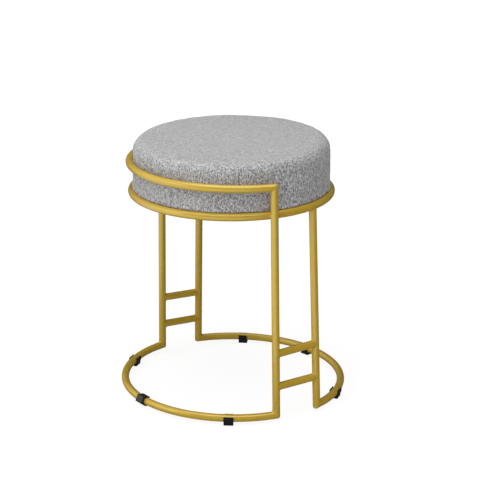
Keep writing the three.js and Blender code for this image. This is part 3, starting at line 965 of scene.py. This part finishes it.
def crossWeld(leg):  # where a rail leg passes the outside of the seat ring
    pair = (axes["seat_ring"], leg)
    crossing = leg.at(solve(lambda s: leg.at(s).z - ringHeight, leg.length / 2))
    inner = pair[0].nearest(crossing)
    across = (crossing - inner).normalized()
    level = upward.cross(across)
    middle = (inner + crossing) / 2
    probe = 1e-5
    sections = []
    for turn in turnsRound(stoolFrame["sides"]):
        ray = level * cos(turn) + upward * sin(turn)
        reach = tubeRadius + weld["crossFillet"] * waver(middle + ray * tubeRadius)

        def gap(axis, point):
            return (point - axis.nearest(point)).length - reach

        out, shift = tubeRadius, 0.0
        for _ in range(14):  # a ball that touches both tubes
            centre = middle + ray * out + across * shift
            gaps = [gap(axis, centre) for axis in pair]
            slopes = [[(gap(axis, centre + way * probe) - now) / probe for way in (ray, across)]
                      for axis, now in zip(pair, gaps)]
            step = np.linalg.lstsq(np.array(slopes), gaps, rcond=None)[0]
            out, shift = out - float(step[0]), shift - float(step[1])
        centre = middle + ray * out + across * shift
        start, finish = (towards(axis.nearest(centre), centre, tubeRadius) for axis in pair)
        deep = middle + ray * max(0.5 * mm, out - reach * 0.75)
        sections.append(fillet(centre, start, finish, deep, *pair))
    return bead(sections)


for tubeName in axes:
    makeTube(tubeName)
for weldName, beads in (("corner_welds", [mitreWeld(*pair) for pair in mitres]),
                        ("end_welds", [buttWeld(end) for end in butts]),
                        ("ring_welds", [crossWeld(axes[f"{side}_rail_leg"]) for side in ("near", "far")])):
    keepPiece(shade(joinPieces(weldName, beads), 60), "frame_tube")
print("frame tubes and welds made")

# Small parts that repeat round the stool
footClip = {
    "length": 16.2 * mm,
    "wall": 2 * mm,
    "clearance": 0.15 * mm,
    "outerGap": 0.5 * mm,
    "armAngle": 30,
    "flankAngle": -38,
    "soleHalfWidth": 6.6 * mm,
    "soleEdge": 0.8 * mm,
    "edge": 0.5 * mm,
    "railSideShares": (-0.68, 0.06, 0.694),  # along each half arc of the base, from -1 to 1
    "openSideShares": (-0.725, 0.137, 0.663),
    "slippedShare": 0.06,  # the one that has slipped round its tube, and how far it has turned
    "slippedTurn": 114,
}


def makeFootClips():
    outer = tubeRadius + footClip["outerGap"] + footClip["wall"]
    arm = radians(footClip["armAngle"])
    half, edge = footClip["soleHalfWidth"], footClip["soleEdge"]
    flank = arc(0, 0, outer, arm, radians(footClip["flankAngle"]), 10)
    section = flank + [(half, edge - baseHeight), (half - edge, -baseHeight), (edge - half, -baseHeight),
                       (-half, edge - baseHeight)]
    section += [(-x, y) for x, y in reversed(flank)]
    section += arc(0, 0, tubeRadius + footClip["clearance"], pi - arm, fullTurn + arm, 24)

    def clip(turn):
        turned = [(x * cos(turn) - y * sin(turn), x * sin(turn) + y * cos(turn)) for x, y in section]
        radius = stoolFrame["baseRadius"]
        bends = [(k / 8 - 0.5) * footClip["length"] / radius for k in range(9)]
        stations = [[polar(a, radius + x, baseHeight + y) for x, y in turned] for a in bends]
        return bevelled(loft("clip", stations, plasticFinish), footClip["edge"])

    groups = []
    for side in ("rail", "open"):
        x, y, facing, span = stoolFrame[side + "Arc"]
        for slipped in (False, True):
            bearings = [radians(facing + share * span / 2) for share in footClip[side + "SideShares"]
                        if (share == footClip["slippedShare"]) == slipped]
            if bearings:
                turned = clip(radians(footClip["slippedTurn"]) if slipped else 0)
                groups.append(roundCopies(f"{side}_clips", turned, bearings, plasticFinish, (x, y, 0)))
    keepPiece(shade(joinPieces("foot_clips", groups), 40), "foot_plastic", *numbered("foot_clip_", 6))


seatFixing = {
    "lugs": 4,
    "circleRadius": 146 * mm,
    "halfWidth": 12 * mm,
    "holeRadius": 3.4 * mm,
    "embedded": 1.2 * mm,  # how far a lug runs into the seat ring
    "lugEdge": 0.35 * mm,
    "beadRadius": 1.5 * mm,
    "beadWave": 1.7 * mm,
    "beadInsets": (0.8 * mm, 0.6 * mm),  # of its ends, and of where it thins out to nothing
    "headRadius": 5.6 * mm,
    "headRound": 1.4 * mm,
    "headGap": 0.1 * mm,
    "shankRadius": 3 * mm,
    "plainShank": 5 * mm,
    "tip": 1 * mm,
    "tipChamfer": 0.6 * mm,
    "threadDepth": 0.35 * mm,
    "threadPitch": 1 * mm,
    "socketHalfWidth": 2 * mm,
    "socketDepth": 2.4 * mm,
    "socketCone": 0.5 * mm,
    "socketMouth": (0.7 * mm, 0.3 * mm),  # width and depth of its chamfer
    "washerRadius": 6.4 * mm,
    "washerEdge": 0.2 * mm,
}
lugTurns = turnsRound(seatFixing["lugs"])


def makeLugs():
    low, high = heights("seat_lug_1")
    place, width = seatFixing["circleRadius"], seatFixing["halfWidth"]
    end = ringRadius - tubeRadius + seatFixing["embedded"]
    lug = meshObject("lug", [], [], goldFinish)
    with meshEdit(lug) as sheet:
        outline = [(end, -width), (end, width), *arc(place, 0, width, pi / 2, 1.5 * pi, 20)]
        faces = plate(sheet, (outline, circle(place, 0, seatFixing["holeRadius"], 28)), low)
        raised = bmesh.ops.extrude_face_region(sheet, geom=faces)
        tops = [g for g in raised["geom"] if isinstance(g, bmesh.types.BMVert)]
        bmesh.ops.translate(sheet, verts=tops, vec=(0, 0, high - low))
        bmesh.ops.recalc_face_normals(sheet, faces=sheet.faces)
    parts = [bevelled(lug, seatFixing["lugEdge"])]
    for height in (low, high):  # a bead above and below
        sections = []
        for i in range(25):
            y = (i / 24 - 0.5) * 2 * (width - seatFixing["beadInsets"][0])
            side = sqrt(max(0.02, 1 - (abs(y) / (width - seatFixing["beadInsets"][1])) ** 8))
            middle = Vector((sqrt((ringRadius - tubeRadius) ** 2 - y ** 2), y, height))
            size = seatFixing["beadRadius"] * side * (1 + 0.25 * noise.noise(middle / seatFixing["beadWave"]))
            sections.append([middle + Vector((cos(a), 0, sin(a))) * size for a in turnsRound(14)])
        parts.append(loft("bead", sections, goldFinish))
    lugs = roundCopies("seat_lugs", joinPieces("lug_template", parts), lugTurns, goldFinish)
    keepPiece(shade(lugs, 40), "frame_tube", *numbered("seat_lug_", seatFixing["lugs"]))


def makeBolts():
    low, high = heights("seat_bolt_1")
    washerLow, washerHigh = heights("bolt_washer_1")
    headTop = washerLow - seatFixing["headGap"]
    head, rounding, shank, pitch = (seatFixing[key] for key in (
        "headRadius", "headRound", "shankRadius", "threadPitch"))
    socket, depth = seatFixing["socketHalfWidth"], low + seatFixing["socketDepth"]
    mouthWidth, mouthDepth = seatFixing["socketMouth"]
    threadStart = headTop + seatFixing["plainShank"]
    outline = [(0, depth + seatFixing["socketCone"]), (socket, depth), (socket, low + mouthDepth),
               (socket + mouthWidth, low), *arc(head - rounding, low + rounding, rounding, -pi / 2, 0, 6),
               (head, headTop), (shank, headTop), (shank, threadStart)]
    for i in range(int((high - threadStart - seatFixing["tip"]) / pitch)):
        z = threadStart + i * pitch
        outline += [(shank - seatFixing["threadDepth"], z + pitch * 0.5), (shank, z + pitch)]
    outline += [(shank - seatFixing["tipChamfer"], high), (0, high)]
    bolt = revolved("bolt", outline, 36, zincFinish, (1, 2))
    hole, rim = seatFixing["holeRadius"], seatFixing["washerRadius"]
    corners = [(hole, washerLow), (rim, washerLow), (rim, washerHigh), (hole, washerHigh), (hole, washerLow)]
    washer = revolved("washer", corners, 36, zincFinish)
    for piece, name, stem, edge in ((bolt, "seat_bolts", "seat_bolt_", None),
                                    (washer, "bolt_washers", "bolt_washer_", seatFixing["washerEdge"])):
        with meshEdit(piece) as sheet:
            bmesh.ops.remove_doubles(sheet, verts=sheet.verts, dist=1e-6)
            bmesh.ops.translate(sheet, verts=sheet.verts, vec=(seatFixing["circleRadius"], 0, 0))
        outward(piece)
        if edge:
            bevelled(piece, edge)
        copies = roundCopies(name, piece, lugTurns, zincFinish)
        keepPiece(shade(copies, 35), "bolt_steel", *numbered(stem, seatFixing["lugs"]))


makeFootClips()
makeLugs()
makeBolts()
print("feet, lugs and bolts made")

# Cushion: the pad's form swells in a cloth simulation, and its cover and foam are made from the result
chenille = {
    "pale": (0.70, 0.70, 0.705),
    "mid": (0.43, 0.43, 0.435),
    "dark": (0.17, 0.17, 0.175),
    "topContrast": 0.4,  # share of the speckle that the nap shows in the middle of the top
    "rimContrast": 0.9,
    "rim": (9 * mm, 1 * mm),  # inside the pad's radius, where the top's nap turns into the side's
    "yarn": 2.1 * mm,
    "yarnWander": 6 * mm,
    "slub": 2.1 * mm,
    "melange": 1.9 * mm,
    "fuzz": 0.45 * mm,
    "streak": 1.8 * mm,  # across the slubs that run over the top
    "streakLengths": 5,
    "streakBearing": 57,
    "streakShare": 0.22,
    "paintedTopLight": 0.016,  # painted light: the top is coloured paler than the side, as if it were lit more
    "relief": 0.85 * mm,
    "sheen": 0.25,
}


def makeChenille():
    graph, place = newMaterial("grey_melange_chenille")
    x, y, z = graph.split(place)
    radius = (x * x + y * y) ** 0.5
    bearing = y.join("ARCTAN2", x)
    side = graph.smoothRange(radius, [pad["radius"] - inset for inset in chenille["rim"]])
    wander = (graph.noise(place, chenille["yarnWander"]) - 0.5) * 7.0
    count = round(fullTurn * pad["radius"] / chenille["yarn"])
    acrossTop = (x * (fullTurn / chenille["yarn"]) + wander).join("SINE")
    roundSide = (bearing * count + wander).join("SINE")
    rib = acrossTop + (roundSide - acrossTop) * side
    slubs = graph.noise(graph.objectPlace((1, 1, 0.5)), chenille["slub"], 3.0, 0.62)
    melange = graph.noise(graph.objectPlace((1, 0.55, 0.55)), chenille["melange"], 2.0, 0.7)
    fuzz = graph.noise(place, chenille["fuzz"], 2.0, 0.6)
    rim = (radius / pad["radius"]) ** 3
    top = chenille["topContrast"] + rim * (chenille["rimContrast"] - chenille["topContrast"])
    contrast = top + side * (1 - top)
    c, s = (turn(radians(chenille["streakBearing"])) for turn in (cos, sin))
    run = graph.combine((x * c + y * s) / chenille["streakLengths"], y * c - x * s, z)
    streaks = (graph.noise(run, chenille["streak"], 3.0, 0.6) - 0.5) * (1 - side) * chenille["streakShare"]
    tone = (slubs * 0.55 + melange * 0.45 - 0.5) * contrast + streaks
    # painted light: the top's tone is raised, so that the top renders paler than the side
    tone = tone + (1 - side) * chenille["paintedTopLight"] + 0.5
    colour = graph.ramp(tone, (0.40, chenille["dark"]), (0.50, chenille["mid"]), (0.60, chenille["pale"]))
    height = slubs * 1.0 + rib * 0.10 + fuzz * 0.14
    return surface(graph, (height, chenille["relief"], 0.8), Base_Color=colour, Roughness=0.88 + fuzz * 0.1,
                   Sheen_Weight=chenille["sheen"], Sheen_Roughness=0.4)


pad = {
    "radius": 168.6 * mm,
    "bulge": 0.5 * mm,
    "flare": 4.2 * mm,  # how far the wall's foot spreads over the seat ring
    "flareRise": 11 * mm,
    "rise": 40.0 * mm,  # from the rail's middle up to the shoulder
    "crown": 5.5 * mm,
    "shoulder": 17 * mm,
    "lean": (-0.85, 1.15),  # slopes of the used cushion's top along X and Y, in degrees
    "drop": 4.2 * mm,
    "nest": 0.4 * mm,  # between the pad and the tubes that it lies against
    "clearance": 0.35 * mm,
    "pressHalfHeight": 17 * mm,
    "slack": 5 * mm,  # how much smaller the form is before it swells
    "voxel": 5 * mm,
    "pinnedHeight": 0.8 * mm,  # the form's lowest vertices, which stay on the board
    "slimmer": 1.4 * mm,  # how much thinner the tubes are that it swells against
    "frames": 20,
    "mostMove": 9 * mm,
    "fineSteps": 500,
    "meanSteps": 10,  # the movement is averaged over fewer steps than this on each side
    "strayShare": 0.25,
    "mostStray": 0.5 * mm,  # how far the cloth may end from the pad's outline
    "calmFoot": (8 * mm, 12 * mm),  # height with no stray, and the rise to all of it
    "coverThickness": 1.2 * mm,
    "foamGap": 0.4 * mm,
    "hemRadius": 154 * mm,
    "fill": 0.9,
}
cloth = {  # settings of the cloth that the form swells as
    "quality": 6,
    "mass": 0.25,
    "tension_stiffness": 12,
    "compression_stiffness": 12,
    "shear_stiffness": 5,
    "bending_stiffness": 0.6,
    "uniform_pressure_force": 4.0,
}
shoulderHeight = railHeight + pad["rise"]
padBottom = ringHeight + tubeRadius - pad["drop"]
besidePad = ("cushion_rail", "seat_ring", "near_rail_leg", "far_rail_leg")


def padOutline(depth):
    crownRadius = pad["radius"] - pad["shoulder"]
    top, foot = shoulderHeight - pad["shoulder"], ringHeight + tubeRadius
    points = []
    for i in range(40):
        r = crownRadius * i / 40
        points.append((r, shoulderHeight + pad["crown"] * (1 - (r / crownRadius) ** 2) - depth))
    points += arc(crownRadius, top, pad["shoulder"] - depth, pi / 2, 0, 12)
    nest = tubeRadius + pad["nest"] + depth
    first = acos((pad["radius"] + pad["flare"] - depth - ringRadius) / nest)
    last = pi - asin((padBottom + depth - ringHeight) / nest)
    low = ringHeight + nest * sin(first)
    for i in range(1, 20):
        z = top + (low - top) * i / 20
        bulge = pad["bulge"] * sin(pi * (top - z) / (top - foot))
        flare = pad["flare"] * max(0, 1 - (z - low) / pad["flareRise"]) ** 2
        points.append((pad["radius"] - depth + bulge + flare, z))
    points += arc(ringRadius, ringHeight, nest, first, last, 6)
    edge = points[-1][0]
    return points + [(edge * (1 - i / 30), padBottom + depth) for i in range(1, 31)]


def railPress(bearing, z):
    away = (z - railHeight) / pad["pressHalfHeight"]
    if abs(away) >= 1:
        return 0
    rail = axes["cushion_rail"]
    offset = rail.centre.to_2d()
    ray = Vector((cos(bearing), sin(bearing)))
    along, across = offset.dot(ray), offset.cross(ray)
    distance = along + sqrt(rail.radius ** 2 - across ** 2)
    depth = pad["radius"] + pad["bulge"] + pad["nest"] - (distance - tubeRadius)
    return max(0, depth) * (1 - away ** 2) ** 2


def swell(piece):
    pinned = piece.vertex_groups.new(name="pinned")
    floor = min(v.co.z for v in piece.data.vertices)
    low = [v.index for v in piece.data.vertices if v.co.z < floor + pad["pinnedHeight"]]
    pinned.add(low, 1.0, "REPLACE")
    slimmer = []
    for name in besidePad:
        axis = axes[name]
        tube = line("press_" + name, [axis.at(axis.length * i / 120) for i in range(121)])
        applyTree(tube, sweptTube, tubeRadius=tubeRadius - pad["slimmer"], sides=20)
        tube.modifiers.new("press", "COLLISION")
        tube.collision.thickness_outer = 1 * mm
        slimmer.append(tube)
    swelling = piece.modifiers.new("swell", "CLOTH")
    setAll(swelling.settings, use_pressure=True, vertex_group_mass="pinned", **cloth)
    setAll(swelling.settings.effector_weights, gravity=0)
    setAll(swelling.collision_settings, use_collision=True, use_self_collision=False, distance_min=1 * mm)
    setAll(swelling.point_cache, frame_start=1, frame_end=pad["frames"])
    for number in range(1, pad["frames"] + 1):
        scene.frame_set(number)
    settle(piece)
    scene.frame_set(1)
    for tube in slimmer:
        bpy.data.objects.remove(tube)


def fineOutline(depth):
    points = np.array(padOutline(depth))
    fine = np.linspace(0, len(points) - 1, pad["fineSteps"])
    return np.stack([np.interp(fine, range(len(points)), points[:, k]) for k in (0, 1)], 1)


def shortened(steps, most, share=1):
    length = np.linalg.norm(steps, axis=1, keepdims=True)
    return steps * (share * np.minimum(1, most / np.maximum(length * share, 1e-9)))


def fitPad(piece, before):  # the cloth keeps its own unevenness, round the pad's own outline
    small, full = fineOutline(pad["slack"]), fineOutline(0)
    now = np.array([v.co for v in piece.data.vertices])
    reach = np.hypot(before[:, 0], before[:, 1])
    section = np.stack([reach, before[:, 2]], 1)
    nearest = np.argmin(((section[:, None] - small[None]) ** 2).sum(2), 1)
    step = np.stack([np.hypot(now[:, 0], now[:, 1]) - reach, now[:, 2] - before[:, 2]], 1)
    step = shortened(step, pad["mostMove"])
    bearing = np.arctan2(before[:, 1], before[:, 0])
    clear = np.cos(bearing - loopBearing) < 0.1  # away from the rail
    mean = np.zeros((len(small), 2))
    for i in range(len(small)):
        near = clear & (abs(nearest - i) < pad["meanSteps"])
        mean[i] = step[near].mean(0) if near.any() else mean[i - 1]
    stray = shortened(step - mean[nearest], pad["mostStray"], pad["strayShare"])
    calm, rise = pad["calmFoot"]
    moved = full[nearest] + stray * np.clip((before[:, 2:] - padBottom - calm) / rise, 0, 1)
    for vertex, (r, z), turn in zip(piece.data.vertices, moved, bearing):
        vertex.co = (cos(turn) * r, sin(turn) * r, z)


def clearOfFrame(piece, room):
    for vertex in piece.data.vertices:
        for name in besidePad:
            axis = axes[name]
            core = axis.nearest(vertex.co)
            beside = name == "seat_ring" or 0 <= axis.station(core) <= axis.length
            if beside and (vertex.co - core).length < tubeRadius + room:
                vertex.co = towards(core, vertex.co, tubeRadius + room)


def makePad():
    depth = pad["slack"]
    piece = outward(revolved("pad_form", padOutline(depth), 180, None))
    modified(piece, "REMESH", mode="VOXEL", voxel_size=pad["voxel"])
    before = np.array([v.co for v in piece.data.vertices])
    swell(piece)
    fitPad(piece, before)
    slopes = Vector([tan(radians(angle)) for angle in pad["lean"]])
    for vertex in piece.data.vertices:
        upper = (vertex.co.z - ringHeight - tubeRadius) / (shoulderHeight - ringHeight - tubeRadius)
        vertex.co.z += max(0, upper) * slopes.dot(vertex.co.xy)
        reach = vertex.co.xy.length
        if reach > pad["radius"] - pad["shoulder"]:
            press = railPress(atan2(vertex.co.y, vertex.co.x), vertex.co.z)
            vertex.co.xy *= 1 - press / reach
    clearOfFrame(piece, pad["clearance"])
    modified(piece, "SUBSURF", levels=1, render_levels=1)
    clearOfFrame(piece, pad["clearance"])
    return piece


def makeCover(form):
    piece = meshObject("chenille_cover", [], [], clothFinish)
    with meshEdit(form, piece) as cover:
        middles = {f: f.calc_center_median() for f in cover.faces}
        under = [f for f, middle in middles.items() if middle.z < padBottom + pad["coverThickness"]
                 and hypot(*middle.xy) < pad["hemRadius"]]
        bmesh.ops.delete(cover, geom=under, context="FACES")
        for vertex in cover.verts:
            if vertex.is_boundary:
                vertex.co.xy *= pad["hemRadius"] / vertex.co.xy.length
    modified(piece, "SOLIDIFY", thickness=pad["coverThickness"], offset=-1, use_even_offset=False)
    piece.data.materials.clear()
    piece.data.materials.append(clothFinish)
    keepPiece(shade(piece), "seat_cloth", "cushion_cover")


def makeFoam(form):
    piece = meshObject("foam_core", [], [], foamFinish)
    with meshEdit(form, piece) as foam:
        foam.normal_update()
        for vertex, normal in [(v, v.normal.copy()) for v in foam.verts]:
            vertex.co -= normal * (pad["coverThickness"] + pad["foamGap"])
        cut = bmesh.ops.bisect_plane(foam, geom=foam.verts[:] + foam.edges[:] + foam.faces[:], dist=1e-6,
                                     plane_co=(0, 0, heights("seat_foam")[0]), plane_no=upward,
                                     clear_inner=True)
        edges = [g for g in cut["geom_cut"] if isinstance(g, bmesh.types.BMEdge)]
        bmesh.ops.holes_fill(foam, edges=edges, sides=0)
        bmesh.ops.recalc_face_normals(foam, faces=foam.faces)
    keepPiece(shade(piece, 50), "pad_foam", "seat_foam")


clothFinish = makeChenille()
padForm = makePad()
makeCover(padForm)
makeFoam(padForm)
bpy.data.objects.remove(padForm)
print("cushion made")

# Underside: a black cloth stapled over the cover's hem
underside = {
    "dark": (0.012, 0.012, 0.013),
    "pale": (0.055, 0.055, 0.058),
    "bondPitch": 1.6 * mm,
    "fibre": 0.5 * mm,
    "relief": 0.2 * mm,
    "radius": 158 * mm,
    "holeRadius": 4.4 * mm,
    "sag": 0.12 * mm,
    "longestEdge": 8 * mm,
    "rippleLength": 45 * mm,
    "stapleRadius": 155.6 * mm,
    "staples": 44,
    "stapleWidth": 11 * mm,
    "stapleWire": 0.42 * mm,
    "stapleSkew": 0.13,
    "lugRoom": 9.5,  # degrees from a lug's middle with no staple
    "seed": 7,
}


def makeUndersideCloth():
    graph, place = newMaterial("black_nonwoven")
    grid = graph.objectPlace((1, 1, 0), (0, 0, radians(45)))
    points = graph.cells(grid, underside["bondPitch"], "CHEBYCHEV", 0.0)
    fibres = graph.noise(graph.objectPlace((1, 0.25, 1), (0, 0, 0.5)), underside["fibre"], 3.0, 0.7)
    bond = graph.mapRange(points, (0.16, 0.30), (1.0, 0.0))
    colour = graph.mix((fibres * 0.7 + bond * 0.3).cap(), underside["dark"], underside["pale"])
    return surface(graph, (fibres * 0.5 - bond * 0.5, underside["relief"], 0.7), Base_Color=colour,
                   Roughness=0.85 - bond * 0.25)


def makeDustCover(low, high):
    piece = meshObject("underside_sheet", [], [], undersideFinish)
    with meshEdit(piece) as sheet:
        holes = circle(0, 0, seatFixing["circleRadius"], seatFixing["lugs"])
        plate(sheet, [circle(0, 0, underside["radius"], 160),
                      *(circle(x, y, underside["holeRadius"], 24) for x, y in holes)], high)
        for _ in range(3):
            longest = [e for e in sheet.edges if e.calc_length() > underside["longestEdge"]]
            bmesh.ops.subdivide_edges(sheet, edges=longest, cuts=1, use_grid_fill=True)
            bmesh.ops.triangulate(sheet, faces=sheet.faces)
        for vertex in sheet.verts:
            spread = vertex.co.xy.length / underside["radius"]
            ripple = noise.noise(Vector((*vertex.co.xy, 0)) / underside["rippleLength"])
            vertex.co.z -= underside["sag"] * (1 + ripple) * max(0, 1 - spread ** 6)
        bmesh.ops.recalc_face_normals(sheet, faces=sheet.faces)
        if sum(f.normal.z for f in sheet.faces) < 0:
            bmesh.ops.reverse_faces(sheet, faces=sheet.faces)
    modified(piece, "SOLIDIFY", thickness=high - low, offset=-1)
    keepPiece(shade(piece, 40), "underside_cloth", "dust_cover")


def stapleTree():
    graph, wires = geometryTree("staplesRound", {
        "width": "Float", "wire": "Float", "skew": "Float", "seed": "Int"})
    size = graph.combine(wires["wire"], wires["width"], wires["wire"])
    crown = graph.node("GeometryNodeMeshCube", {"Size": size}, "Mesh")
    limits = {2: wires["skew"] * -1, 3: wires["skew"], "Seed": wires["seed"]}
    skew = graph.node("FunctionNodeRandomValue", limits, 1, data_type="FLOAT")
    return endWithCopies(graph, wires, crown, skew)


def makeStaples(sheetLow):
    room, wire = radians(underside["lugRoom"]), underside["stapleWire"]
    places = [fullTurn * (i + 0.5) / underside["staples"] for i in range(underside["staples"])]
    bearings = [a for a in places
                if all(abs((a - turn + pi) % fullTurn - pi) > room for turn in lugTurns)]
    points = [polar(a, underside["stapleRadius"], sheetLow - wire / 2) for a in bearings]
    piece = bearingPoints("staples", points, bearings)
    applyTree(piece, stapleTree(), width=underside["stapleWidth"], wire=wire, skew=underside["stapleSkew"],
              seed=underside["seed"], finish=zincFinish)
    keepPiece(shade(piece, 30), "bolt_steel")


undersideFinish = makeUndersideCloth()
sheetHeights = heights("dust_cover")
makeDustCover(*sheetHeights)
makeStaples(sheetHeights[0])
print("underside made")

# CAD pieces that stay: the board and its nuts
for nodeName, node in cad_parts.items():
    if nodeName == "seat_board" or nodeName.startswith("board_nut"):
        node.data.materials.clear()
        node.data.materials.append(plyFinish if nodeName == "seat_board" else zincFinish)
